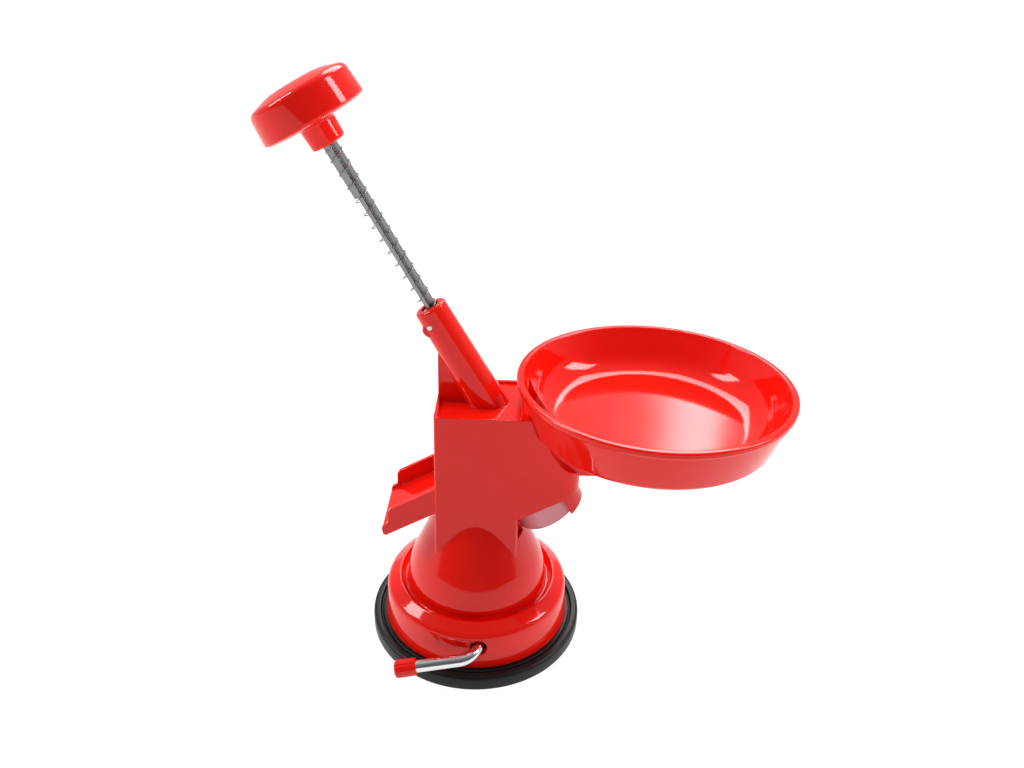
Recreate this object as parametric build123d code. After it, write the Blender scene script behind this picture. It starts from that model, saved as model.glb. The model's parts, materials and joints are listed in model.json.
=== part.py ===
from build123d import *
import os
from math import ceil, cos, pi, radians, sin

# A plunger cherry pitter on a lever-operated suction foot. Millimetres, +Z up.
# Origin: centre of the foot's underside. +X points to the cherry dish, the chute is at -X,
# and the lever leaves the foot at -Y.

# ---------------------------------------------------------------- driving dimensions
DISC_R = 42.8            # rubber suction disc
CUP_R = 37.7             # lower edge of the foot's cup
CUP_Z = 5.6              # where the cup stands on the disc
CREST_R, CREST_Z = 31.2, 23.9    # raised inner crest of the cup
GROOVE_Z = 20.6          # groove between the crest and the column
CUP_TOP_R = 36.5
COLUMN_R, COLUMN_Z = 28.0, 28.8          # where the column's flare turns
COLUMN_ROUND = 36.0
NECK_R, NECK_Z = 14.0, 60.0              # top of the flare, inside the box
BOX_X, BOX_Y = 31.2, 31.4        # upright box above the flared column
BOX_Z = 103.1            # top of the box
RECESS_END, RECESS_RIM, RECESS_DEEP = 15.5, 1.2, 0.9     # shallow panel in the box top
WALL = 2.1               # moulded wall
TILT = 29.7              # plunger axis from the vertical, its top leaning to -X
AXIS_X = 2.5             # where the plunger axis leaves the box top
FIT = 0.06               # radial clearance of a running fit
GAP = 0.25               # gap between faces of pieces that move apart

# distances along the plunger axis, measured up from the box top
MOUTH = 41.4             # mouth of the guide tube
SPRING_FOOT = 38.0       # upper face of the spring's washer
PIN_AT = 35.7            # retaining pin
SEAT_TOP = -25.0         # floor of the chute and rim of the pit seat
NOTCH = -44.0            # lower edge of the front wall at the pit outlet
OUTLET = -54.0           # lower end of the pit outlet
COLLAR = 104.0           # lower end of the knob's collar
STROKE = 48.0

# plunger
ROD_R = 2.5              # over the four ribs of the rod
RIB = 1.0
PIN_R, PIN_SIDE = 1.1, -2.6
WIRE, COIL_R, TURNS = 0.4, 2.83, 13.75
KNOB_R, KNOB_TOP = 17.95, 125.3
COLLAR_R, INSERT_R = 6.1, 3.5
INSERT_LOW, INSERT_HIGH = 106.5, 118.5
BUSH_R, BUSH_LOW, BUSH_HIGH = 4.3, -3.8, 7.0

# dish
DISH_X, DISH_R = 64.0, 50.6
DISH_Z, DISH_FOOT = 113.3, 94.6
DISH_WALL = 2.2
DISH_FLOOR = DISH_FOOT + DISH_WALL
DISH_ROUND = 12.0        # from the wall into the floor
FEED_TOP = 108.0         # top of the opening towards the seat
FEED = [(6.0, -11.0), (36.0, -11.0), (30.0, -3.0), (21.5, 8.0), (6.0, 8.0)]      # its plan
DISH_SCREW_X, DISH_SCREW_Y = 40.3, 8.3
POST_R, POST_Z = 2.6, 89.6
SHANK_R = 1.4

# neck under the dish
NECK_END, NECK_FLOOR, NECK_Y = 54.0, 79.3, 13.2
SIDE_X = 38.2            # right-hand end of the block that holds the seat

# chute
CHUTE_Y, CHUTE_WALL = 14.0, 1.6
CHUTE_END = -33.5
CHUTE_TOP, CHUTE_FOOT = -18.6, -28.0     # along the plunger axis

# pit outlet and seat
TUBE_R, TUBE_SIDE = 14.6, -1.5
WINDOW_SIDE = 8.0        # right-hand end of the window in the outlet's wall
SEAT_R, SEAT_WALL = 13.0, 1.6
SLIT, SLITS, HOLE_R = 0.5, 8, 3.4

# suction lever
LEVER_YAW = 3.8
LEVER_Z = 15.5
SHAFT_R, HOLE_IN_CUP = 2.25, 3.3
ARM_Y, BEND = -41.7, 7.5
ARM_SLOPE = 9.0          # the arm hangs this far below level when the foot is locked
ARM_END, CAP_R, CAP_LONG = 31.6, 3.35, 8.25
FLUTES, FLUTE_TURN = 4, 65.4
THROW, CAM_R = 1.5, 5.0
FRONT_RIB, REAR_RIB, RIB_THICK = -20.0, 14.0, 6.0
SCREW_X, SCREW_SHANK = 8.0, 1.25
HUB_Y = 4.2
STUD_Y, STUD_THICK = -3.0, 5.6
PLATE_Z = 6.0            # underside of the plate bonded to the raised disc


# ---------------------------------------------------------------- frames and helpers
SIN, COS = sin(radians(TILT)), cos(radians(TILT))
AXIS = Plane(origin=(AXIS_X, 0, BOX_Z), x_dir=(COS, 0, SIN), z_dir=(-SIN, 0, COS)).location
LEVER_TURN = Rot(0, 0, LEVER_YAW)
LEVER = Pos(0, 0, LEVER_Z) * LEVER_TURN
BASE = (Align.CENTER, Align.CENTER, Align.MIN)


def outline(corners, radii=0):
    """Closed face with rounded corners, drawn in the XZ plane."""
    return Plane.XZ * make_face(FilletPolyline(*corners, radius=radii, close=True).edges())


def lathe(corners, radii=0):
    """Solid turned about Z from corners given as (radius, height)."""
    return revolve(outline(corners, radii), Axis.Z)


def slice_y(corners, half_width, radii=0):
    """Plate drawn in the XZ plane and given its width evenly about Y = 0."""
    return extrude(outline(corners, radii), half_width, both=True)


def block(low, high):
    """Box from its lowest corner to its highest corner."""
    size = [b - a for a, b in zip(low, high)]
    middle = [(a + b) / 2 for a, b in zip(low, high)]
    return Pos(*middle) * Box(*size)


def rod(radius, low, high):
    """Cylinder about Z between two heights."""
    return Pos(0, 0, low) * Cylinder(radius, high - low, align=BASE)


def slab(low, high):
    """Everything between two planes square to the plunger axis."""
    return AXIS * block((-90, -60, low), (90, 60, high))


def along_y(radius, low, high):
    """Cylinder about Y between two values of y."""
    return Pos(0, low, 0) * Rot(-90, 0, 0) * Cylinder(radius, high - low, align=BASE)


def one(shape):
    """The largest solid of a result that should be a single piece."""
    return shape.solids().sort_by(SortBy.VOLUME)[-1]


# ---------------------------------------------------------------- housing
def foot_outside():
    corners = [(0, CUP_Z), (CUP_R, CUP_Z), (CUP_TOP_R, GROOVE_Z - 0.4), (CREST_R, CREST_Z),
               (29.5, GROOVE_Z), (28.3, GROOVE_Z), (COLUMN_R, COLUMN_Z), (NECK_R, NECK_Z),
               (0, NECK_Z)]
    return lathe(corners, [0, 0.6, 3.4, 0.9, 0.7, 0.7, COLUMN_ROUND, 0, 0])


def foot_hollow():
    t = WALL
    corners = [(0, 0), (CUP_R - t, 0), (CUP_TOP_R - t, 18.6), (CREST_R, CREST_Z - 2.4),
               (30.0, 18.5), (26.1, 18.5), (COLUMN_R - t, COLUMN_Z), (NECK_R - t, NECK_Z),
               (0, NECK_Z)]
    return lathe(corners, [0, 0, 1.5, 0.5, 0.5, 0.5, COLUMN_ROUND - 2, 0, 0])


def box_outside():
    body = block((-BOX_X / 2, -BOX_Y / 2, 34), (BOX_X / 2, BOX_Y / 2, BOX_Z))
    return fillet(body.edges().filter_by(Axis.Z), 0.9)


def top_recess():
    x, y = -BOX_X / 2 + RECESS_RIM, BOX_Y / 2 - RECESS_RIM
    panel = block((x, -y, BOX_Z - RECESS_DEEP), (RECESS_END, y, BOX_Z + 1))
    return fillet(panel.edges().filter_by(Axis.Z), 1.0)


def box_hollow():
    x, y = BOX_X / 2 - WALL, BOX_Y / 2 - WALL
    return block((-x, -y, 30), (x, y, BOX_Z - 3.0))


def on_axis(side, height):
    """Point of the XZ plane given in the plunger's frame."""
    return (AXIS_X + side * COS - height * SIN, BOX_Z + side * SIN + height * COS)


def neck_outside():
    """Block that holds the seat, flush with the box's faces, and the set-back neck of the dish."""
    foot_right = on_axis((SIDE_X - on_axis(0, NOTCH)[0]) / COS, NOTCH)
    corners = [(8, BOX_Z), (21, BOX_Z), (27, 89.3), (31.8, 83), (SIDE_X, NECK_FLOOR + 0.6),
               foot_right, on_axis(-15, NOTCH), (8, 70)]
    body = slice_y(corners, BOX_Y / 2, [0, 0, 12, 12, 0, 0, 0, 0])
    uprights = body.edges().filter_by(Axis.Z).filter_by_position(Axis.X, SIDE_X - 0.1, SIDE_X + 0.1)
    body = fillet(uprights, 6.0)
    neck = block((8, -NECK_Y, NECK_FLOOR), (NECK_END, NECK_Y, BOX_Z))
    ends = neck.edges().filter_by(Axis.Z).group_by(Axis.X)[-1]
    return body + fillet(ends, 4.0)


def guide_tube():
    """Leaning tube with a knuckle for the retaining pin, a rounded mouth and a gusset."""
    tube = lathe([(0, -8), (7.0, -8), (5.8, MOUTH), (0, MOUTH)], [0, 0, 1.0, 0])
    knuckle = Pos(-3.2, 0, 34.5) * along_y(2.9, -4.4, 4.4)
    knuckle = fillet(knuckle.edges().filter_by(GeomType.CIRCLE), 1.0)
    left = -BOX_X / 2 + 0.5
    gusset = slice_y([(left, BOX_Z - 2), (left, 122.0), on_axis(0, 22), on_axis(0, -1)], 1.7)
    return AXIS * (tube + knuckle) + gusset


def level(height, x):
    """Height above the ground, at x, of a plane square to the plunger axis."""
    return BOX_Z + (height + (x - AXIS_X) * SIN) / COS


def chute_outside():
    foot = level(CHUTE_FOOT, CHUTE_END)
    corners = [(-10, level(CHUTE_FOOT, -10)), (-10, level(CHUTE_TOP, -10)),
               (CHUTE_END, level(CHUTE_TOP, CHUTE_END)), (CHUTE_END, foot + 5.0),
               (CHUTE_END - 2.7, foot + 3.1), (CHUTE_END - 2.0, level(CHUTE_FOOT, CHUTE_END - 2))]
    return slice_y(corners, CHUTE_Y, [0, 0, 2.6, 2.0, 1.4, 1.0])


def chute_channel():
    y = CHUTE_Y - CHUTE_WALL
    return block((-50, -y, 20), (0, y, BOX_Z)) & slab(SEAT_TOP, -4)


def feed_opening(high):
    """Way of a cherry from the dish to the seat, straight down from a given height."""
    return extrude(Pos(0, 0, 70) * make_face(Polyline(*FEED, close=True)), high - 70)


def dish_envelope(gap):
    """The dish's outside as a solid of revolution about the Z axis."""
    g = gap
    return lathe([(0, DISH_FOOT - g), (44.4 + g, DISH_FOOT - g), (49.9 + g, DISH_Z - 2.6),
                  (DISH_R + g, DISH_Z - 2.0), (DISH_R + g, DISH_Z), (0, DISH_Z)],
                 [0, 3.6, 0.5, 0.6, 0.9, 0])


def neck_recess():
    """Hollow of the neck, open downwards, clear of the outlet's wall and the screw posts."""
    y = NECK_Y - WALL
    hollow = block((24, -y, 50), (SIDE_X - WALL, y, 85.6))
    hollow &= AXIS * block((WINDOW_SIDE + 0.8, -60, -120), (90, 60, 90))
    hollow += block((SIDE_X - 1, -y, 60), (NECK_END - WALL, y, 89.4))
    return hollow - AXIS * Pos(TUBE_SIDE, 0, 0) * rod(TUBE_R, OUTLET - 20, 20)


def bearing_ribs():
    span = 40
    ribs = block((-span, FRONT_RIB - RIB_THICK / 2, 0), (span, FRONT_RIB + RIB_THICK / 2, 14))
    ribs += block((-span, REAR_RIB - RIB_THICK / 2, 0), (span, REAR_RIB + RIB_THICK / 2, 14))
    return (LEVER * ribs) & foot_outside()


def rib_screw_places():
    return [(x, y) for y in (FRONT_RIB, REAR_RIB) for x in (-SCREW_X, SCREW_X)]


def dish_screw_places():
    return [(DISH_SCREW_X, y) for y in (-DISH_SCREW_Y, DISH_SCREW_Y)]


def tube_bores():
    bores = rod(ROD_R + FIT, -20, MOUTH + 1) + rod(ROD_R + 0.7, BUSH_HIGH, 27)
    bores += rod(COIL_R + WIRE / 2 + 0.45, SPRING_FOOT - 0.5, MOUTH + 1)
    bores += rod(BUSH_R, BUSH_LOW - 3, BUSH_HIGH)
    bores += Pos(PIN_SIDE, 0, PIN_AT) * along_y(PIN_R + 0.02, -9, 9)
    return AXIS * bores


def lever_holes():
    """Shaft bearings, the front opening and the pilot holes of the caps' screws."""
    holes = along_y(SHAFT_R + FIT, FRONT_RIB - 9, REAR_RIB + 9)
    holes += along_y(HOLE_IN_CUP, -45, FRONT_RIB - 8)
    for x, y in rib_screw_places():
        holes += Pos(x, y, 0) * rod(SCREW_SHANK + 0.02, -1, 6.5)
    return LEVER * holes


def dish_screw_holes():
    """Stepped holes: post of the dish above, plate, head of the screw below."""
    holes = []
    for x, y in dish_screw_places():
        bore = rod(POST_R + 0.1, POST_Z - 0.1, 100) + rod(SHANK_R + 0.15, 84, 95)
        holes.append(Pos(x, y, 0) * bore)
    return holes[0] + holes[1]


def screw_posts():
    """Solid posts of the neck round the dish's screws."""
    posts = [Pos(x, y, 0) * rod(POST_R + 1.6, POST_Z - 2.2, DISH_FOOT - 4) for x, y in
             dish_screw_places()]
    return (posts[0] + posts[1]) & block((SIDE_X, -15, 70), (NECK_END - 1, 15, 100))


def housing():
    outside = foot_outside() + box_outside() + neck_outside() - top_recess()
    outside = outside + guide_tube() + chute_outside()
    under = (foot_hollow() + box_hollow()) & slab(-120, SEAT_TOP - 1.8)
    over = box_hollow() & slab(SEAT_TOP, 30)
    body = outside - under - over - neck_recess()
    tube = AXIS * Pos(TUBE_SIDE, 0, 0) * rod(TUBE_R, OUTLET, SEAT_TOP - 0.9)
    body = body + tube + bearing_ribs() + screw_posts()
    seat_bore = Pos(TUBE_SIDE, 0, 0) * rod(SEAT_R + 0.1, OUTLET - 0.2, SEAT_TOP + 0.01)
    rim_bore = Pos(TUBE_SIDE, 0, 0) * rod(SEAT_R + 1.0, SEAT_TOP - 3.0, SEAT_TOP + 0.01)
    cell = Pos(TUBE_SIDE, 0, 0) * rod(SEAT_R + 0.3, SEAT_TOP, -8)
    body -= AXIS * (seat_bore + rim_bore) + ((AXIS * cell) & box_reach()) + outlet_window()
    body -= chute_channel() + (feed_opening(BOX_Z - 3.0) & slab(SEAT_TOP, 30))
    body -= Pos(DISH_X, 0, 0) * dish_envelope(0.1)
    body -= tube_bores() + lever_holes() + dish_screw_holes()
    return one(body)


def outlet_window():
    """The front of the outlet's wall stops at the notch, so the seat shows below it."""
    window = block((-20, -20, OUTLET - 1), (WINDOW_SIDE, -6, NOTCH))
    corner = window.edges().filter_by(Axis.Y).group_by(Axis.X)[-1].group_by(Axis.Z)[-1]
    window = AXIS * fillet(corner, 2.8)
    return window & block((BOX_X / 2 + 0.4, -20, 30), (60, 0, 90))


def box_reach():
    """Room under the box top, so that the cell never breaks through it."""
    return block((-30, -30, 40), (60, 30, BOX_Z - 3.0))


# ---------------------------------------------------------------- dish
def hopper_dish():
    """Round dish with a soft-cornered bowl, two screw posts and an opening towards the seat."""
    inner_foot, inner_top = 42.2, 48.2
    bowl = lathe([(0, DISH_FLOOR), (inner_foot, DISH_FLOOR), (inner_top, DISH_Z),
                  (inner_top, DISH_Z + 1), (0, DISH_Z + 1)], [0, DISH_ROUND, 0, 0, 0])
    shell = dish_envelope(0) - bowl
    shell = fillet(shell.edges().filter_by(GeomType.CIRCLE).group_by(Axis.Z)[-1], 0.8)
    dish = Pos(DISH_X, 0, 0) * shell
    for x, y in dish_screw_places():
        dish += Pos(x, y, 0) * rod(POST_R, POST_Z, DISH_FOOT + 0.5)
    dish -= feed_opening(FEED_TOP)
    for x, y in dish_screw_places():
        dish -= Pos(x, y, 0) * rod(SHANK_R + 0.02, POST_Z - 1, DISH_FLOOR - 1.2)
    return one(dish)


def pan_screw(shank, length, head, thick):
    """Pan-head screw standing on its head's underside at the origin, with a cross recess."""
    body = lathe([(0, -thick), (head, -thick), (head, 0), (shank, 0), (shank, length - shank),
                  (0.4, length), (0, length)], [0, 0.5, 0, 0, 0, 0, 0])
    cross = Box(head * 1.1, 0.6, 1.4) + Box(0.6, head * 1.1, 1.4)
    return body - Pos(0, 0, -thick) * cross


def dish_screws():
    screw = pan_screw(SHANK_R, 7.6, 2.5, 1.6)
    under = POST_Z - 2.2
    return [Pos(x, y, under) * screw for x, y in dish_screw_places()]


# ---------------------------------------------------------------- seat and guide
def pit_seat():
    """Soft sleeve with a flange and a slotted floor that lets the stone through."""
    top, under = SEAT_TOP - 0.6, SEAT_TOP - 2.2
    flange, step = SEAT_TOP - 3.0, SEAT_TOP - 1.8
    inner = SEAT_R - SEAT_WALL
    cup = lathe([(0, under), (inner - 0.8, under), (inner, under - 1.6), (inner, OUTLET + 0.3),
                 (SEAT_R, OUTLET + 0.3), (SEAT_R, flange), (SEAT_R + 0.85, flange),
                 (SEAT_R + 0.85, step), (inner + 0.2, step), (inner + 0.2, top), (0, top)],
                [0, 0.6, 0.6, 0, 0.4, 0, 0.3, 0, 0, 0.4, 0])
    reach = rod(8.8, under - 1, top + 1)
    slots = Pos(0, 0, (top + under) / 2) * star(17.6)
    return AXIS * (Pos(TUBE_SIDE, 0, 0) * cup - rod(HOLE_R, under - 1, top + 1) - (slots & reach))


def star(length):
    """Crossing bars of the slits."""
    bars = Box(length, SLIT, 4)
    for turn in range(1, SLITS // 2):
        bars += Rot(0, 0, 360 / SLITS * turn) * Box(length, SLIT, 4)
    return bars


def seat_ring():
    inner = SEAT_R - SEAT_WALL + 0.35
    ring = lathe([(inner, SEAT_TOP - 1.75), (SEAT_R + 0.9, SEAT_TOP - 1.75),
                  (SEAT_R + 0.9, SEAT_TOP - 0.05), (inner, SEAT_TOP - 0.05)], [0, 0, 0.4, 0.5])
    return AXIS * Pos(TUBE_SIDE, 0, 0) * ring


def guide_bush():
    high = BUSH_HIGH - 0.1
    return AXIS * lathe([(ROD_R + FIT, BUSH_LOW), (BUSH_R - 0.02, BUSH_LOW),
                         (BUSH_R - 0.02, high), (ROD_R + FIT, high)], [0.4, 0.4, 0.4, 0.4])


def spring_washer():
    return AXIS * lathe([(ROD_R + 0.12, SPRING_FOOT - 0.48), (3.3, SPRING_FOOT - 0.48),
                         (3.3, SPRING_FOOT), (ROD_R + 0.12, SPRING_FOOT)])


def retaining_pin():
    pin = along_y(PIN_R, -5.2, 5.2)
    return AXIS * Pos(PIN_SIDE, 0, PIN_AT) * chamfer(pin.edges(), 0.25)


# ---------------------------------------------------------------- plunger
def plunger_rod():
    """Cross-shaped rod with a flat for the retaining pin and a round end in the insert."""
    bars = Box(2 * ROD_R, RIB, 120) + Box(RIB, 2 * ROD_R, 120)
    outer = lathe([(0, 0.5), (1.3, 0.5), (ROD_R, 2.2), (ROD_R, INSERT_HIGH - 0.5),
                   (0, INSERT_HIGH - 0.5)])
    shank = rod(ROD_R, COLLAR + 1, INSERT_HIGH - 0.5)
    flat_side = PIN_SIDE + PIN_R + 0.12
    flat_low, flat_high = PIN_AT - PIN_R - 0.2, PIN_AT + PIN_R + STROKE + 0.3
    flat = block((-5, -5, flat_low), (flat_side, 5, flat_high))
    return AXIS * (((Pos(0, 0, 60) * bars) & outer) + shank - flat)


def knob():
    body = lathe([(0, COLLAR), (5.85, COLLAR), (COLLAR_R, 111.3), (15.5, 111.7),
                  (KNOB_R, 112.6), (17.1, 122.6), (9.0, 125.0), (0, KNOB_TOP)],
                 [0, 1.0, 0.8, 8, 0.9, 2.6, 22, 0])
    body -= rod(INSERT_R + 0.02, INSERT_LOW, INSERT_HIGH + 0.2)
    return AXIS * (body - rod(ROD_R + 0.05, COLLAR - 1, INSERT_LOW + 1))


def knob_insert():
    """Metal sleeve with two grip grooves round the rod's end."""
    sleeve = rod(INSERT_R, INSERT_LOW + 0.1, INSERT_HIGH)
    for height in (110.0, 114.5):
        sleeve -= rod(INSERT_R + 1, height, height + 1) - rod(INSERT_R - 0.4, height, height + 1)
    return AXIS * (sleeve - rod(ROD_R + 0.02, INSERT_LOW - 1, INSERT_HIGH - 0.4))


def biarc(p0, t0, p1, t1):
    """Two tangent arcs from p0 to p1 that leave along t0 and arrive along t1."""
    v = p1 - p0
    a = 2 * (1 - t0.dot(t1))
    b = 2 * v.dot(t0 + t1)
    c = -v.dot(v)
    d = -c / b if abs(a) < 1e-9 else (-b + (b * b - 4 * a * c) ** 0.5) / (2 * a)
    q0, q1 = p0 + t0 * d, p1 - t1 * d
    middle = (q0 + q1) * 0.5
    return [TangentArc(p0, middle, tangent=t0), TangentArc(middle, p1, tangent=(q1 - q0))]


def coil_point(turns, height):
    angle = 2 * pi * turns
    return Vector(COIL_R * cos(angle), COIL_R * sin(angle), height)


def coil_tangent(turns, pitch):
    angle = 2 * pi * turns
    run = 2 * pi * COIL_R
    return Vector(-run * sin(angle), run * cos(angle), pitch).normalized()


def return_spring():
    """Wire swept along biarcs of a quarter turn, its ends square to washer and collar."""
    low, high = SPRING_FOOT + 0.02, COLLAR - 0.02
    quarters = round(4 * TURNS)
    rise, end_pitch = 1.5, 1.8
    pitch = (high - low - 2 * rise - 1.5 * end_pitch) / (TURNS - 1.5)
    steps = [end_pitch / 4] * 3 + [pitch / 4] * (quarters - 6) + [end_pitch / 4] * 3
    heights = [low + rise + sum(steps[:i]) for i in range(quarters + 1)]
    slopes = [4 * (steps[max(i - 1, 0)] + steps[min(i, quarters - 1)]) / 2
              for i in range(quarters + 1)]
    nodes = [coil_point(i / 4, z) for i, z in enumerate(heights)]
    tangents = [coil_tangent(i / 4, p) for i, p in enumerate(slopes)]
    start = coil_point(-0.1, low)
    finish = coil_point(TURNS + 0.1, high)
    up = Vector(0, 0, 1)
    lead, lag = start + up * WIRE, finish - up * WIRE
    edges = [Line(start, lead), *biarc(lead, up, nodes[0], tangents[0])]
    for i in range(quarters):
        edges += biarc(nodes[i], tangents[i], nodes[i + 1], tangents[i + 1])
    edges += [*biarc(nodes[-1], tangents[-1], lag, up), Line(lag, finish)]
    path = Wire(edges)
    report_spring(edges, pitch)
    section = Plane(origin=start, z_dir=up) * Circle(WIRE / 2)
    return AXIS * sweep(section, path)


def report_spring(edges, pitch):
    """Prints the tightest arc and the least gap between the wire and itself."""
    points, run = [], 0.0
    for edge in edges:
        count = max(3, ceil(edge.length / 0.35))
        points += [(run + edge.length * k / count, edge @ (k / count)) for k in range(count)]
        run += edge.length
    least = min((points[i][1] - points[j][1]).length for i in range(len(points))
                for j in range(i + 1, min(i + 90, len(points)))
                if points[j][0] - points[i][0] > 4 * WIRE)
    tight = min(e.radius for e in edges if e.geom_type == GeomType.CIRCLE)
    print("spring pitch", round(pitch, 3), "tightest arc", round(tight, 3),
          "least gap", round(least - WIRE, 3))


# ---------------------------------------------------------------- foot
def suction_disc():
    """Rubber disc, its middle drawn up by the lever; rim band, groove and seat for the cup."""
    top = PLATE_Z - 0.05
    return lathe([(0, 3.3), (21, 3.3), (34.5, 0.8), (36.4, 0), (DISC_R, 0), (DISC_R, 6.0),
                  (39.8, 6.0), (39.6, 4.6), (39.0, 4.6), (38.9, CUP_Z - 0.1),
                  (34.9, CUP_Z - 0.1), (33.4, 4.0), (22, top), (0, top)],
                 [0, 12, 0, 0.6, 0.5, 1.3, 0.5, 0.2, 0.2, 0.4, 0.4, 1.0, 8, 0])


def bearing_cap(y):
    cap = block((-12.5, y - RIB_THICK / 2, -6.6), (12.5, y + RIB_THICK / 2, -0.1))
    cap = fillet(cap.edges().filter_by(Axis.Y), 1.5)
    cap -= along_y(SHAFT_R + FIT, -60, 60)
    for x in (-SCREW_X, SCREW_X):
        cap -= Pos(x, y, 0) * (rod(SCREW_SHANK + 0.15, -8, 1) + rod(2.6, -8, -4.8))
    return LEVER * cap


def bearing_screws():
    screw = pan_screw(SCREW_SHANK, 10.9, 2.3, 1.5)
    return [LEVER * Pos(x, y, -4.85) * screw for x, y in rib_screw_places()]


# ---------------------------------------------------------------- lever
def arm_frame():
    """Frame at the bend with Z along the arm towards its grip cap."""
    slope = radians(ARM_SLOPE)
    return Pos(0, ARM_Y, 0) * Plane(origin=(0, 0, 0), x_dir=(0, 1, 0),
                                    z_dir=(-cos(slope), 0, -sin(slope))).location


def lever_shaft():
    slope = radians(ARM_SLOPE)
    reach = ARM_END - 1.6
    path = FilletPolyline((0, REAR_RIB + 6, 0), (0, ARM_Y, 0),
                          (-reach * cos(slope), ARM_Y, -reach * sin(slope)), radius=BEND)
    section = Plane(origin=(0, REAR_RIB + 6, 0), z_dir=(0, -1, 0)) * Circle(SHAFT_R)
    bar = sweep(section, path)
    groove = along_y(SHAFT_R + 1, REAR_RIB + 3.4, REAR_RIB + 4.3)
    bar -= groove - along_y(SHAFT_R - 0.35, REAR_RIB + 3.4, REAR_RIB + 4.3)
    return LEVER * (bar - Pos(0, HUB_Y, 0) * rod(0.92, -6, 6))


def lever_cap():
    """Fluted grip with a rounded end, pressed over the arm."""
    start = ARM_END - CAP_LONG
    body = lathe([(0, start), (CAP_R - 0.1, start), (CAP_R, ARM_END), (0, ARM_END)],
                 [0, 0.4, 1.3, 0])
    body -= rod(SHAFT_R + 0.02, start - 1, ARM_END - 1.5)
    for turn in range(FLUTES):
        body -= (Rot(0, 0, FLUTE_TURN + 360 / FLUTES * turn) * Pos(CAP_R + 0.15, 0, 0)
                 * rod(0.5, start - 1, ARM_END + 1))
    return LEVER * arm_frame() * body


def lift_cam():
    """Eccentric with a hub; its bore follows the shaft."""
    low, high = STUD_Y - STUD_THICK / 2 - 0.3, STUD_Y + STUD_THICK / 2 + 0.3
    cam = Pos(0, 0, THROW) * along_y(CAM_R, low, high) + along_y(4.2, high - 0.1, HUB_Y + 2.4)
    cam -= along_y(SHAFT_R + 0.02, low - 1, HUB_Y + 4)
    return LEVER * (cam - Pos(0, HUB_Y, 0) * rod(0.92, -6, 6))


def cam_pin():
    return LEVER * Pos(0, HUB_Y, 0) * rod(0.9, -4.0, 4.0)


def shaft_clip():
    y = REAR_RIB + 3.45
    clip = along_y(4.0, y, y + 0.8) - along_y(SHAFT_R - 0.33, y - 1, y + 2)
    return LEVER * (clip - block((-1.1, y - 1, -6), (1.1, y + 2, 0)))


# ---------------------------------------------------------------- lift
def lift_stud():
    """Yoke with a window for the eccentric and a round foot on the disc's plate."""
    centre = LEVER_Z + THROW
    half = CAM_R + 0.45
    low, high = STUD_Y - STUD_THICK / 2, STUD_Y + STUD_THICK / 2
    body = block((-9.5, low, PLATE_Z + 1.5), (9.5, high, centre + half + 2.6))
    body = fillet(body.edges().filter_by(Axis.Y), 1.2)
    foot = Pos(0, STUD_Y, 0) * rod(7.5, PLATE_Z + 1.5, PLATE_Z + 3.0)
    window = block((-7.2, low - 1, centre - half), (7.2, high + 1, centre + half))
    window = fillet(window.edges().filter_by(Axis.Y), 1.5)
    rivet_hole = rod(1.82, 5, 14) + rod(3.05, centre - half - 1.3, 14)
    return LEVER_TURN * (body + foot - window - Pos(0, STUD_Y, 0) * rivet_hole)


def disc_plate():
    plate = rod(19, PLATE_Z, PLATE_Z + 1.45) - LEVER_TURN * Pos(0, STUD_Y, 0) * (
        rod(1.82, 5, 9) + rod(3.05, 5, PLATE_Z + 0.75))
    return plate


def stud_rivet():
    upper = LEVER_Z + THROW - CAM_R - 0.45 - 1.25
    body = rod(1.8, PLATE_Z + 0.05, upper + 0.9) + rod(3.0, PLATE_Z + 0.05, PLATE_Z + 0.7)
    return LEVER_TURN * Pos(0, STUD_Y, 0) * (body + rod(3.0, upper, upper + 0.9))


# ---------------------------------------------------------------- write the nodes
NODES = {
    "housing": housing,
    "hopper_dish": hopper_dish,
    "dish_screws": dish_screws,
    "pit_seat": pit_seat,
    "seat_ring": seat_ring,
    "guide_bush": guide_bush,
    "spring_washer": spring_washer,
    "retaining_pin": retaining_pin,
    "plunger_rod": plunger_rod,
    "knob": knob,
    "knob_insert": knob_insert,
    "return_spring": return_spring,
    "suction_disc": suction_disc,
    "bearing_cap_front": lambda: bearing_cap(FRONT_RIB),
    "bearing_cap_rear": lambda: bearing_cap(REAR_RIB),
    "bearing_screws": bearing_screws,
    "lever_shaft": lever_shaft,
    "lever_cap": lever_cap,
    "lift_cam": lift_cam,
    "cam_pin": cam_pin,
    "shaft_clip": shaft_clip,
    "lift_stud": lift_stud,
    "disc_plate": disc_plate,
    "stud_rivet": stud_rivet,
}

if __name__ == "__main__":
    os.makedirs("parts", exist_ok=True)
    for node, build in NODES.items():
        shape = build()
        shape = Compound(children=shape) if isinstance(shape, list) else shape
        export_step(shape, f"parts/{node}.step")
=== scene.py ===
"""Looks of a tabletop cherry pitter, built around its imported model. Lengths are metres."""

from __future__ import annotations

import json
import logging
import math
from dataclasses import dataclass, field
from enum import Enum

import bmesh
import bpy
from mathutils import Matrix, Vector

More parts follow.
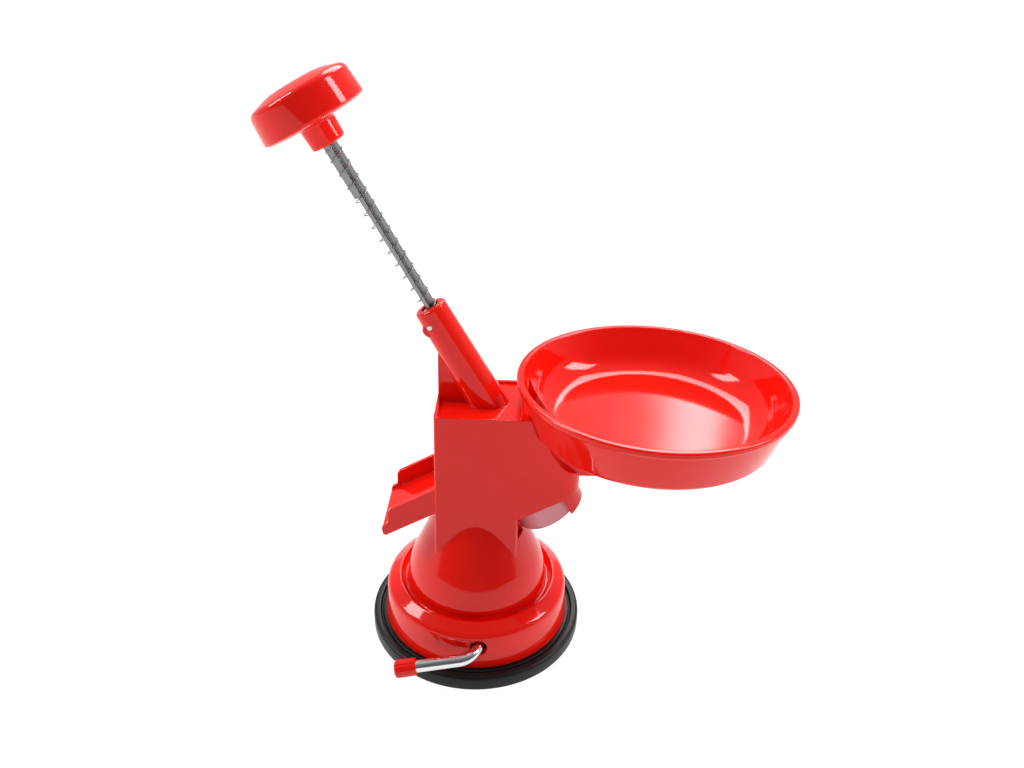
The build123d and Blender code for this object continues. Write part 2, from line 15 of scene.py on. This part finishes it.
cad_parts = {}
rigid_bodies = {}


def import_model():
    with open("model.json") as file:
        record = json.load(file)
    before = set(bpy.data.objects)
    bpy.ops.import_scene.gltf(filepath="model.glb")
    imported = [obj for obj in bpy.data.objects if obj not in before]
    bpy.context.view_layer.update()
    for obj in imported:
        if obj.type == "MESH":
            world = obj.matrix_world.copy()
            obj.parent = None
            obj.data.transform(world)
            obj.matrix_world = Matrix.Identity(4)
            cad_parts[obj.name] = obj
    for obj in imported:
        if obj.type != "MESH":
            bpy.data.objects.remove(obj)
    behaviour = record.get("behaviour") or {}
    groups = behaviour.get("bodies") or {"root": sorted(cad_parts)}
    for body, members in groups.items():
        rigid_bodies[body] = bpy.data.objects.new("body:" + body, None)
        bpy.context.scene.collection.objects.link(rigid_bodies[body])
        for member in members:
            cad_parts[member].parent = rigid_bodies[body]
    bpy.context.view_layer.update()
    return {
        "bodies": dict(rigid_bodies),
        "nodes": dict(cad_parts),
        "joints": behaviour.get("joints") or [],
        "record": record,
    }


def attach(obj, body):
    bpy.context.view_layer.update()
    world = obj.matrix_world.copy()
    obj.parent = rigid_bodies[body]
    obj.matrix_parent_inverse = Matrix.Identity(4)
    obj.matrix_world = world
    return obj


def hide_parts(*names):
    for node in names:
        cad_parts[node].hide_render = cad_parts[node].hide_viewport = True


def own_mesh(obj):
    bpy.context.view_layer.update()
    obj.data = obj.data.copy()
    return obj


LOG = logging.getLogger("cherry_pitter")
MM = 0.001
Point = tuple[float, float, float]
Profile = list[tuple[float, float]]


# ------------------------------------------------------------------ frames of the object
TILT = math.radians(29.7)
AXIS_FOOT = Vector((2.5, 0.0, 103.1)) * MM
AXIS_UP = Vector((-math.sin(TILT), 0.0, math.cos(TILT)))
LEVER_YAW = math.radians(3.8)
LEVER_Z = 15.5 * MM


def plunger_frame() -> Matrix:
    """Matrix whose Z runs up the plunger from the box top and whose X leans to the dish."""
    side = Vector((math.cos(TILT), 0.0, math.sin(TILT)))
    turn = Matrix((side, Vector((0.0, 1.0, 0.0)), AXIS_UP)).transposed().to_4x4()
    return Matrix.Translation(AXIS_FOOT) @ turn


def lever_frame() -> Matrix:
    """Matrix with its Y along the lever's shaft."""
    return Matrix.Translation((0.0, 0.0, LEVER_Z)) @ Matrix.Rotation(LEVER_YAW, 4, "Z")


# ------------------------------------------------------------------ mesh helpers
def add_object(name: str, data: bpy.types.ID) -> bpy.types.Object:
    """Links a new object at the origin and returns it."""
    obj = bpy.data.objects.new(name, data)
    bpy.context.scene.collection.objects.link(obj)
    return obj


def finish_mesh(name: str, bm: bmesh.types.BMesh, angle: float = 35.0) -> bpy.types.Object:
    """Turns a bmesh into an object with outward faces and smooth shading below an angle.

    Args:
        name: The object's name.
        bm: The mesh, freed here.
        angle: Edges sharper than this, in degrees, stay sharp.
    """
    bmesh.ops.remove_doubles(bm, verts=bm.verts, dist=1e-7)
    bmesh.ops.recalc_face_normals(bm, faces=bm.faces)
    limit = math.radians(angle)
    for face in bm.faces:
        face.smooth = True
    for edge in bm.edges:
        edge.smooth = len(edge.link_faces) == 2 and edge.calc_face_angle(0.0) < limit
    mesh = bpy.data.meshes.new(name)
    bm.to_mesh(mesh)
    bm.free()
    return add_object(name, mesh)


def rounded(corners: Profile, radii: list[float], steps: int = 6) -> Profile:
    """Open profile with its inner corners rounded by arcs.

    Args:
        corners: Points (radius, height) in millimetres.
        radii: One radius for each corner, 0 for a sharp one.
        steps: Segments of each arc.
    """
    out: Profile = []
    for i, (corner, radius) in enumerate(zip(corners, radii)):
        if radius <= 0 or i in (0, len(corners) - 1):
            out.append(corner)
            continue
        here = Vector(corner)
        back = (Vector(corners[i - 1]) - here).normalized()
        ahead = (Vector(corners[i + 1]) - here).normalized()
        half = math.acos(max(-1.0, min(1.0, back.dot(ahead)))) / 2
        reach = radius / math.tan(half)
        centre = here + (back + ahead).normalized() * (radius / math.sin(half))
        first, last = here + back * reach - centre, here + ahead * reach - centre
        sweep = first.angle_signed(last)
        for k in range(steps + 1):
            turn = Matrix.Rotation(-sweep * k / steps, 2)
            point = centre + turn @ first
            out.append((point.x, point.y))
    return out


def lathe(name: str, profile: Profile, place: Matrix, segments: int = 128,
          angle: float = 35.0) -> bpy.types.Object:
    """Closed form turned about Z from a profile in millimetres.

    Args:
        name: The object's name.
        profile: Points (radius, height); ends on the axis are welded shut.
        place: Where the form stands.
        segments: Faces around.
        angle: Edges sharper than this stay sharp.
    """
    bm = bmesh.new()
    verts = [bm.verts.new((r * MM, 0.0, z * MM)) for r, z in profile]
    edges = [bm.edges.new(pair) for pair in zip(verts, verts[1:])]
    bmesh.ops.spin(bm, geom=verts + edges, cent=(0, 0, 0), axis=(0, 0, 1),
                   angle=math.tau, steps=segments, use_duplicate=False)
    bmesh.ops.remove_doubles(bm, verts=bm.verts, dist=1e-7)
    bm.transform(place)
    return finish_mesh(name, bm, angle)


def tube(name: str, points: list[Vector], radius: float, sides: int) -> bpy.types.Object:
    """Round bar along a path with closed ends, its section carried without twist.

    Args:
        name: The object's name.
        points: Path in metres.
        radius: Radius of the bar in metres.
        sides: Faces around.
    """
    bm = bmesh.new()
    tangents = [(points[min(i + 1, len(points) - 1)] - points[max(i - 1, 0)]).normalized()
                for i in range(len(points))]
    side = tangents[0].orthogonal().normalized()
    rings = []
    for point, tangent in zip(points, tangents):
        side = (side - tangent * side.dot(tangent)).normalized()
        other = tangent.cross(side)
        ring = []
        for k in range(sides):
            angle = math.tau * k / sides
            offset = side * math.cos(angle) + other * math.sin(angle)
            ring.append(bm.verts.new(point + offset * radius))
        rings.append(ring)
    for low, high in zip(rings, rings[1:]):
        for k in range(sides):
            bm.faces.new((low[k], low[(k + 1) % sides], high[(k + 1) % sides], high[k]))
    bm.faces.new(rings[0])
    bm.faces.new(rings[-1])
    return finish_mesh(name, bm)


def cut_away(name: str, body: bpy.types.Object, cutter: bpy.types.Object,
             angle: float = 35.0) -> bpy.types.Object:
    """Takes one closed form out of another and returns the rest as a new object.

    Args:
        name: The new object's name.
        body: The form that is cut, removed here.
        cutter: The form that is taken out, removed here.
        angle: Edges sharper than this stay sharp.
    """
    cut = body.modifiers.new("cut", "BOOLEAN")
    cut.operation, cut.solver, cut.object = "DIFFERENCE", "EXACT", cutter
    mesh = bpy.data.meshes.new_from_object(
        body.evaluated_get(bpy.context.evaluated_depsgraph_get()))
    bm = bmesh.new()
    bm.from_mesh(mesh)
    bpy.data.objects.remove(body)
    bpy.data.objects.remove(cutter)
    return finish_mesh(name, bm, angle)


def prism(name: str, outline: Profile, low: float, high: float,
          place: Matrix) -> bpy.types.Object:
    """Closed block with a flat outline.

    Args:
        name: The object's name.
        outline: Corners of the outline in millimetres, in order.
        low: Height of the lower face in millimetres.
        high: Height of the upper face in millimetres.
        place: Where the block stands.
    """
    bm = bmesh.new()
    foot = [bm.verts.new((x * MM, y * MM, low * MM)) for x, y in outline]
    head = [bm.verts.new((x * MM, y * MM, high * MM)) for x, y in outline]
    bm.faces.new(foot)
    bm.faces.new(head)
    for k in range(len(foot)):
        after = (k + 1) % len(foot)
        bm.faces.new((foot[k], foot[after], head[after], head[k]))
    bm.transform(place)
    return finish_mesh(name, bm)


# ------------------------------------------------------------------ material helpers
class Nodes:
    """Short way to add and join nodes of one tree."""

    def __init__(self, tree: bpy.types.NodeTree) -> None:
        """Keeps the tree."""
        self.tree = tree

    def add(self, kind: str, **values: object) -> bpy.types.Node:
        """Adds a node; names that match an input set its default, others set attributes."""
        node = self.tree.nodes.new(kind)
        for key, value in values.items():
            name = key.replace("_", " ").title()
            if name in node.inputs:
                node.inputs[name].default_value = value
            else:
                setattr(node, key, value)
        return node

    def join(self, output: bpy.types.NodeSocket, target: bpy.types.NodeSocket) -> None:
        """Links an output to an input."""
        self.tree.links.new(output, target)


def grain_group() -> bpy.types.NodeTree:
    """Shared effect: slow colour drift, fine surface ripple and a patchy roughness."""
    tree = bpy.data.node_groups.new("surface_grain", "ShaderNodeTree")
    face = tree.interface
    for name, value in (("Drift Scale", 30.0), ("Ripple Scale", 400.0), ("Drift", 0.1),
                        ("Roughness", 0.2), ("Spread", 0.05)):
        face.new_socket(name, in_out="INPUT", socket_type="NodeSocketFloat").default_value = value
    face.new_socket("Color", in_out="INPUT", socket_type="NodeSocketColor")
    face.new_socket("Color", in_out="OUTPUT", socket_type="NodeSocketColor")
    face.new_socket("Roughness", in_out="OUTPUT", socket_type="NodeSocketFloat")
    face.new_socket("Height", in_out="OUTPUT", socket_type="NodeSocketFloat")
    n = Nodes(tree)
    given, out = n.add("NodeGroupInput"), n.add("NodeGroupOutput")
    where = n.add("ShaderNodeTexCoord")
    slow, fine = n.add("ShaderNodeTexNoise"), n.add("ShaderNodeTexNoise")
    for noise, size in ((slow, "Drift Scale"), (fine, "Ripple Scale")):
        n.join(where.outputs["Object"], noise.inputs["Vector"])
        n.join(given.outputs[size], noise.inputs["Scale"])
    centre = n.add("ShaderNodeMath", operation="SUBTRACT")
    centre.inputs[1].default_value = 0.5
    n.join(slow.outputs["Fac"], centre.inputs[0])
    amount = n.add("ShaderNodeMath", operation="MULTIPLY_ADD")
    amount.inputs[2].default_value = 1.0
    n.join(centre.outputs[0], amount.inputs[0])
    n.join(given.outputs["Drift"], amount.inputs[1])
    shade = n.add("ShaderNodeVectorMath", operation="SCALE")
    n.join(given.outputs["Color"], shade.inputs[0])
    n.join(amount.outputs[0], shade.inputs["Scale"])
    n.join(shade.outputs[0], out.inputs["Color"])
    rough = n.add("ShaderNodeMath", operation="MULTIPLY_ADD")
    n.join(centre.outputs[0], rough.inputs[0])
    n.join(given.outputs["Spread"], rough.inputs[1])
    n.join(given.outputs["Roughness"], rough.inputs[2])
    n.join(rough.outputs[0], out.inputs["Roughness"])
    n.join(fine.outputs["Fac"], out.inputs["Height"])
    return tree


@dataclass(frozen=True)
class Finish:
    """One finish of the object, made from the shared grain and a plain shader."""

    name: str
    color: tuple[float, float, float]
    roughness: float
    metallic: float = 0.0
    drift: float = 0.12
    drift_scale: float = 25.0
    ripple: float = 0.02
    ripple_scale: float = 300.0
    spread: float = 0.05
    ior: float = 1.5
    transmission: float = 0.0
    edge: float = 0.35

    def make(self, grain: bpy.types.NodeTree) -> bpy.types.Material:
        """Builds the material."""
        material = bpy.data.materials.new(self.name)
        material.use_nodes = True
        tree = material.node_tree
        tree.nodes.clear()
        n = Nodes(tree)
        out = n.add("ShaderNodeOutputMaterial")
        shader = n.add("ShaderNodeBsdfPrincipled", metallic=self.metallic)
        shader.inputs["IOR"].default_value = self.ior
        shader.inputs["Transmission Weight"].default_value = self.transmission
        group = n.add("ShaderNodeGroup")
        group.node_tree = grain
        group.inputs["Color"].default_value = (*self.color, 1.0)
        for key, value in (("Drift Scale", self.drift_scale), ("Drift", self.drift),
                           ("Ripple Scale", self.ripple_scale), ("Spread", self.spread),
                           ("Roughness", self.roughness)):
            group.inputs[key].default_value = value
        bump = n.add("ShaderNodeBump", strength=self.ripple, distance=0.0005)
        edge = n.add("ShaderNodeBevel", samples=6)
        edge.inputs["Radius"].default_value = self.edge * MM
        n.join(edge.outputs["Normal"], bump.inputs["Normal"])
        n.join(group.outputs["Height"], bump.inputs["Height"])
        n.join(bump.outputs["Normal"], shader.inputs["Normal"])
        n.join(group.outputs["Color"], shader.inputs["Base Color"])
        n.join(group.outputs["Roughness"], shader.inputs["Roughness"])
        n.join(shader.outputs["BSDF"], out.inputs["Surface"])
        return material


class Slot(Enum):
    """Finishes by the record's material slots."""

    RED = Finish("red_plastic", (0.86, 0.009, 0.004), 0.08, drift=0.06, ripple=0.012,
                 ripple_scale=120.0, ior=1.41)
    RUBBER = Finish("black_rubber", (0.009, 0.009, 0.01), 0.4, ripple=0.06, ripple_scale=900.0,
                    ior=1.3)
    SILICONE = Finish("clear_silicone", (0.78, 0.3, 0.33), 0.22, transmission=0.5)
    CHROME = Finish("chrome", (0.78, 0.78, 0.80), 0.06, metallic=1.0, drift=0.03, ripple=0.01)
    STEEL = Finish("grey_steel", (0.3, 0.3, 0.3), 0.34, metallic=1.0, ripple=0.03)
    ZINC = Finish("zinc_steel", (0.6, 0.6, 0.61), 0.28, metallic=1.0, ripple=0.04)
    NYLON = Finish("white_nylon", (0.8, 0.78, 0.73), 0.45, ripple=0.05)
    BRASS = Finish("brass", (0.72, 0.5, 0.2), 0.25, metallic=1.0, ripple=0.03)


class Paint:
    """Makes each finish once and puts it on pieces."""

    def __init__(self) -> None:
        """Builds every finish."""
        grain = grain_group()
        self.made = {slot.value.name: slot.value.make(grain) for slot in Slot}

    def dress(self, obj: bpy.types.Object, slot: Slot) -> None:
        """Gives an object one finish."""
        obj.data.materials.clear()
        obj.data.materials.append(self.made[slot.value.name])

    def dress_nodes(self, frame: dict) -> None:
        """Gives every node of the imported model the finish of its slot."""
        by_name = {slot.value.name: slot for slot in Slot}
        for entry in frame["record"]["subparts"]:
            self.dress(frame["nodes"][entry["node"]], by_name[entry["material_slot"]])


# ------------------------------------------------------------------ studio
@dataclass
class Studio:
    """Camera at the photograph's angle, pale glowing table and soft lights."""

    focal_px: float = 820.0
    position: Point = (0.010878, -0.266363, 0.247241)
    yaw: float = 0.0033
    pitch: float = 0.4771
    roll: float = 0.0356
    frame_px: float = 1024.0
    sensor_mm: float = 36.0
    table_glow: float = 0.95
    surround: float = 0.55
    surround_front: float = 0.13

    def camera(self) -> None:
        """Places the camera."""
        ahead = Vector((math.sin(self.yaw) * math.cos(self.pitch),
                        math.cos(self.yaw) * math.cos(self.pitch), -math.sin(self.pitch)))
        level = Vector((math.cos(self.yaw), -math.sin(self.yaw), 0.0))
        over = level.cross(ahead)
        c, s = math.cos(self.roll), math.sin(self.roll)
        right, up = level * c + over * s, over * c - level * s
        data = bpy.data.cameras.new("camera")
        data.sensor_fit = "HORIZONTAL"
        data.sensor_width = self.sensor_mm
        data.lens = self.focal_px * self.sensor_mm / self.frame_px
        data.clip_start = 0.01
        data.clip_end = 60.0
        camera = add_object("camera", data)
        turn = Matrix((right, up, -ahead)).transposed().to_4x4()
        camera.matrix_world = Matrix.Translation(self.position) @ turn
        bpy.context.scene.camera = camera

    def floor(self) -> None:
        """Lays the floor."""
        bm = bmesh.new()
        bmesh.ops.create_grid(bm, x_segments=8, y_segments=8, size=20.0)
        floor = finish_mesh("floor", bm)
        material = bpy.data.materials.new("floor")
        material.use_nodes = True
        shader = material.node_tree.nodes["Principled BSDF"]
        shader.inputs["Base Color"].default_value = (0.12, 0.12, 0.12, 1.0)
        shader.inputs["Emission Color"].default_value = (1.0, 1.0, 1.0, 1.0)
        shader.inputs["Emission Strength"].default_value = self.table_glow
        shader.inputs["Roughness"].default_value = 0.6
        shader.inputs["Specular IOR Level"].default_value = 0.2
        floor.data.materials.append(material)

    def light(self, name: str, place: Point, target: Point, size: tuple[float, float],
              watts: float, spin: float = 0.0) -> None:
        """Adds one soft rectangular light aimed at a point.

        Args:
            name: The light's name.
            place: Its centre, in metres.
            target: The point it faces.
            size: Width and height, in metres.
            watts: Its power.
            spin: Turn about its own beam, in degrees.
        """
        data = bpy.data.lights.new(name, "AREA")
        data.shape = "RECTANGLE"
        data.size, data.size_y = size
        data.energy = watts
        lamp = add_object(name, data)
        aim = (Vector(target) - Vector(place)).to_track_quat("-Z", "Y")
        lamp.matrix_world = (Matrix.Translation(place) @ aim.to_matrix().to_4x4()
                             @ Matrix.Rotation(math.radians(spin), 4, "Z"))

    def world(self) -> None:
        """White surround that darkens towards the camera's side."""
        world = bpy.data.worlds.new("surround")
        world.use_nodes = True
        n = Nodes(world.node_tree)
        back = world.node_tree.nodes["Background"]
        back.inputs["Color"].default_value = (1.0, 1.0, 1.0, 1.0)
        where, split = n.add("ShaderNodeTexCoord"), n.add("ShaderNodeSeparateXYZ")
        fade = n.add("ShaderNodeMapRange", interpolation_type="SMOOTHSTEP")
        fade.inputs["From Min"].default_value = -0.75
        fade.inputs["From Max"].default_value = 0.3
        fade.inputs["To Min"].default_value = self.surround_front
        fade.inputs["To Max"].default_value = self.surround
        n.join(where.outputs["Generated"], split.inputs[0])
        n.join(split.outputs["Y"], fade.inputs["Value"])
        n.join(fade.outputs["Result"], back.inputs["Strength"])
        bpy.context.scene.world = world

    def build(self) -> None:
        """Builds the whole studio."""
        self.camera()
        self.floor()
        self.world()
        foot, tall, square = (0.0, 0.0, 0.05), (0.35, 0.8), (1.25, 1.25)
        self.light("left", (-1.15, 0.05, 1.05), foot, tall, 12.0)
        self.light("right", (1.2, -0.05, 1.0), foot, tall, 12.0)
        self.light("back", (0.22, 1.16, 1.6), (0.06, 0.0, 0.1), square, 38.0, spin=30.0)
        bpy.context.scene.view_settings.view_transform = "Standard"


# ------------------------------------------------------------------ plunger
@dataclass
class Plunger:
    """Push knob and return spring. Heights are millimetres up the axis."""

    collar: float = 104.0
    knob_radius: float = 17.95
    coil_radius: float = 2.83
    wire: float = 0.4
    foot: float = 38.0
    turns: float = 13.75
    end_pitch: float = 1.8
    end_turns: float = 0.75
    steps: int = 24
    rise: float = 1.5
    end_offset: float = 0.35
    frame: Matrix = field(default_factory=plunger_frame)

    def knob(self, paint: Paint) -> None:
        """Turned knob with its collar."""
        corners = [(2.3, 107.5), (2.3, self.collar), (5.85, self.collar), (6.1, 111.3),
                   (15.5, 111.7), (self.knob_radius, 112.6), (17.1, 122.6), (9.0, 125.0),
                   (0.0, 125.3)]
        profile = rounded(corners, [0, 0.3, 1.0, 0.8, 8.0, 0.9, 2.6, 22.0, 0], steps=8)
        knob = lathe("push_knob", profile, self.frame, 160)
        paint.dress(knob, Slot.RED)
        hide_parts("knob")
        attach(knob, "plunger")
        LOG.info("knob made")

    def coil_heights(self, low: float, high: float) -> list[float]:
        """Heights along the wire, with a smaller pitch at both ends.

        Args:
            low: Height of the wire's lower tip.
            high: Height of its upper tip.
        """
        length = high - low - 2 * self.rise - 2 * self.end_turns * self.end_pitch
        pitch = length / (self.turns - 2 * self.end_turns)
        heights = [low + self.rise]
        for k in range(round(self.turns * self.steps)):
            turn = (k + 0.5) / self.steps
            near_end = min(turn, self.turns - turn) < self.end_turns
            heights.append(heights[-1] + (self.end_pitch if near_end else pitch) / self.steps)
        return heights

    def coil_points(self) -> list[Vector]:
        """Points along the middle of the spring's wire."""
        low, high = self.foot + 0.02, self.collar - 0.02
        points = [Vector((self.coil_radius, -self.end_offset, low)),
                  Vector((self.coil_radius, -0.3, low + 0.5))]
        for k, height in enumerate(self.coil_heights(low, high)):
            angle = math.tau * k / self.steps
            points.append(Vector((self.coil_radius * math.cos(angle),
                                  self.coil_radius * math.sin(angle), height)))
        last = points[-1]
        side = Vector((-last.y, last.x, 0)).normalized() * self.end_offset
        points += [last + side + Vector((0, 0, self.rise - 0.5)),
                   last + side * 1.1 + Vector((0, 0, self.rise))]
        return [self.frame @ (point * MM) for point in points]

    def spring(self, paint: Paint) -> None:
        """Wound wire about the plunger's axis."""
        spring = tube("coil_spring", self.coil_points(), self.wire / 2 * MM, 12)
        paint.dress(spring, Slot.STEEL)
        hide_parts("return_spring")
        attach(spring, "stand")
        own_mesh(spring)
        LOG.info("spring made")

    def build(self, paint: Paint) -> None:
        """Builds the plunger's pieces."""
        self.knob(paint)
        self.spring(paint)


# ------------------------------------------------------------------ dish
@dataclass
class Dish:
    """Round cherry dish with its feed opening. Lengths are millimetres."""

    centre: tuple[float, float] = (64.0, 0.0)
    foot_radius: float = 44.4
    rim_radius: float = 50.6
    bowl_foot: float = 42.2
    bowl_rim: float = 48.2
    bowl_round: float = 12.0
    foot: float = 94.6
    floor: float = 96.8
    rim: float = 113.3
    feed_top: float = 108.0
    feed: tuple[tuple[float, float], ...] = ((6.0, -11.0), (36.0, -11.0), (30.0, -3.0),
                                             (21.5, 8.0), (6.0, 8.0))
    post_places: tuple[tuple[float, float], ...] = ((40.3, -8.3), (40.3, 8.3))
    post_radius: float = 2.6
    post_foot: float = 89.6
    screw_radius: float = 1.42

    def shell(self) -> bpy.types.Object:
        """Turned wall and floor, before the feed opening is cut."""
        corners = [(0.0, self.foot), (self.foot_radius, self.foot), (49.9, self.rim - 2.6),
                   (self.rim_radius, self.rim - 2.0), (self.rim_radius, self.rim),
                   (self.bowl_rim, self.rim), (self.bowl_foot, self.floor), (0.0, self.floor)]
        radii = [0, 3.6, 0.5, 0.6, 0.8, 0.9, self.bowl_round, 0]
        place = Matrix.Translation((self.centre[0] * MM, self.centre[1] * MM, 0.0))
        return lathe("dish", rounded(corners, radii, steps=10), place, 256, angle=50.0)

    def cutter(self) -> bpy.types.Object:
        """Upright block in the plan of the feed opening."""
        return prism("feed_cutter", list(self.feed), self.foot - 5, self.feed_top, Matrix())

    def posts(self, paint: Paint) -> None:
        """Hollow posts that take the screws from below."""
        profile = [(self.screw_radius, self.floor - 1.2), (self.screw_radius, self.post_foot),
                   (self.post_radius, self.post_foot), (self.post_radius, self.foot + 0.5)]
        for number, (x, y) in enumerate(self.post_places):
            post = lathe(f"dish_post_{number}", profile, Matrix.Translation((x * MM, y * MM, 0)), 40)
            self.join_dish(post, paint)

    def join_dish(self, obj: bpy.types.Object, paint: Paint) -> None:
        """Gives a piece the dish's finish, slot and body."""
        paint.dress(obj, Slot.RED)
        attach(obj, "stand")

    def build(self, paint: Paint) -> None:
        """Builds the dish in place of its plain model."""
        dish = cut_away("cherry_dish", self.shell(), self.cutter())
        self.join_dish(dish, paint)
        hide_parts("hopper_dish")
        self.posts(paint)
        LOG.info("dish made")


# ------------------------------------------------------------------ seat
@dataclass
class PitSeat:
    """Soft cup under the cherry. Lengths are millimetres in the plunger's frame."""

    side: float = -1.5
    radius: float = 13.0
    wall: float = 1.6
    top: float = -25.6
    under: float = -27.2
    step: float = -26.8
    flange: float = -28.0
    flange_radius: float = 13.85
    lower_end: float = -53.7
    hole: float = 3.4
    slit: float = 0.5
    slit_reach: float = 8.8
    slits: int = 8
    frame: Matrix = field(default_factory=plunger_frame)

    def cup(self) -> bpy.types.Object:
        """Turned sleeve with its flange and floor, before the floor is slotted."""
        inner, lip = self.radius - self.wall, self.radius - self.wall + 0.2
        corners = [(0.0, self.under), (inner - 0.8, self.under), (inner, self.under - 1.6),
                   (inner, self.lower_end), (self.radius, self.lower_end),
                   (self.radius, self.flange), (self.flange_radius, self.flange),
                   (self.flange_radius, self.step), (lip, self.step), (lip, self.top),
                   (0.0, self.top)]
        radii = [0, 0.6, 0.6, 0, 0.4, 0, 0.3, 0, 0, 0.4, 0]
        place = self.frame @ Matrix.Translation((self.side * MM, 0.0, 0.0))
        return lathe("seat_cup", rounded(corners, radii), place, 128)

    def star(self) -> Profile:
        """Outline of the stone's hole with the slits that leave it."""
        half = self.slit / 2
        start = math.asin(half / self.hole)
        step = math.tau / self.slits
        outline: Profile = []
        for k in range(self.slits):
            turn = Matrix.Rotation(step * k, 2)
            near = self.hole * math.cos(start)
            corners = [(near, -half), (self.slit_reach, -half), (self.slit_reach, half),
                       (near, half)]
            for share in (0.25, 0.5, 0.75):
                angle = start + (step - 2 * start) * share
                corners.append((self.hole * math.cos(angle), self.hole * math.sin(angle)))
            outline += [tuple(turn @ Vector(corner)) for corner in corners]
        return outline

    def build(self, paint: Paint) -> None:
        """Builds the seat in place of its plain model."""
        cutter = prism("seat_cutter", self.star(), self.under - 1, self.top + 1, self.frame)
        seat = cut_away("soft_seat", self.cup(), cutter)
        paint.dress(seat, Slot.SILICONE)
        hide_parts("pit_seat")
        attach(seat, "stand")
        LOG.info("seat made")


# ------------------------------------------------------------------ suction foot
@dataclass
class SuctionFoot:
    """Rubber disc in two pieces: a rim and an arched middle."""

    radius: float = 42.8
    split: float = 34.9
    cup_height: float = 5.6
    plate_height: float = 6.0

    def rim(self, paint: Paint) -> None:
        """Rim with its raised band, groove and the seat of the cup."""
        top = self.cup_height - 0.1
        corners = [(self.split, 0.74), (36.4, 0.0), (self.radius, 0.0), (self.radius, 6.0),
                   (39.8, 6.0), (39.6, 4.6), (39.0, 4.6), (38.9, top), (self.split, top),
                   (self.split, 0.74)]
        profile = rounded(corners, [0, 0.6, 0.5, 1.3, 0.5, 0.2, 0.2, 0.4, 0.1, 0], steps=5)
        rim = lathe("disc_rim", profile, Matrix(), 192)
        paint.dress(rim, Slot.RUBBER)
        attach(rim, "stand")

    def middle(self, paint: Paint) -> None:
        """Arched middle of the disc."""
        top = self.plate_height - 0.06
        corners = [(0.0, 3.3), (21.0, 3.3), (self.split - 0.05, 0.76), (self.split - 0.05, 5.4),
                   (33.4, 4.0), (22.0, top), (0.0, top)]
        profile = rounded(corners, [0, 12.0, 0, 0.3, 1.0, 8.0, 0], steps=5)
        middle = lathe("disc_middle", profile, Matrix(), 128)
        paint.dress(middle, Slot.RUBBER)
        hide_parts("suction_disc")
        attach(middle, "stand")
        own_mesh(middle)

    def build(self, paint: Paint) -> None:
        """Builds both pieces of the disc."""
        self.rim(paint)
        self.middle(paint)
        LOG.info("suction disc made")


# ------------------------------------------------------------------ lever
@dataclass
class Lever:
    """Bent bar. Lengths are millimetres in the lever's frame."""

    bar_radius: float = 2.25
    arm_y: float = -41.7
    bend: float = 7.5
    slope: float = math.radians(9.0)
    arm_end: float = 31.6
    cap_wall: float = 1.6
    inner_end: float = 20.0
    bend_steps: int = 16
    frame: Matrix = field(default_factory=lever_frame)

    def path(self) -> list[Vector]:
        """Points along the bar, with the bend as an arc."""
        arm = Vector((-math.cos(self.slope), 0, -math.sin(self.slope)))
        corner = Vector((0, self.arm_y, 0))
        start, shaft = Vector((0, self.inner_end, 0)), Vector((0, -1, 0))
        centre = corner - shaft * self.bend + arm * self.bend
        points = [start, corner - shaft * (self.bend + 4)]
        for k in range(self.bend_steps + 1):
            angle = math.pi / 2 * k / self.bend_steps
            points.append(centre - arm * self.bend * math.cos(angle)
                          + shaft * self.bend * math.sin(angle))
        reach = self.arm_end - self.cap_wall
        points += [corner + arm * (reach * f) for f in (0.4, 0.7, 1.0)]
        return [self.frame @ (p * MM) for p in points]

    def bar(self, paint: Paint) -> None:
        """Chromed bar."""
        bar = tube("lever_bar", self.path(), self.bar_radius * MM, 40)
        paint.dress(bar, Slot.CHROME)
        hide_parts("lever_shaft")
        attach(bar, "lever")

    def build(self, paint: Paint) -> None:
        """Builds the lever's pieces."""
        self.bar(paint)
        LOG.info("lever made")


def main() -> None:
    """Builds the dressed object in order."""
    logging.basicConfig(level=logging.INFO, format="%(name)s %(message)s")
    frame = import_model()
    Studio().build()
    paint = Paint()
    paint.dress_nodes(frame)
    Plunger().build(paint)
    Dish().build(paint)
    PitSeat().build(paint)
    SuctionFoot().build(paint)
    Lever().build(paint)


if __name__ == "__main__":
    main()
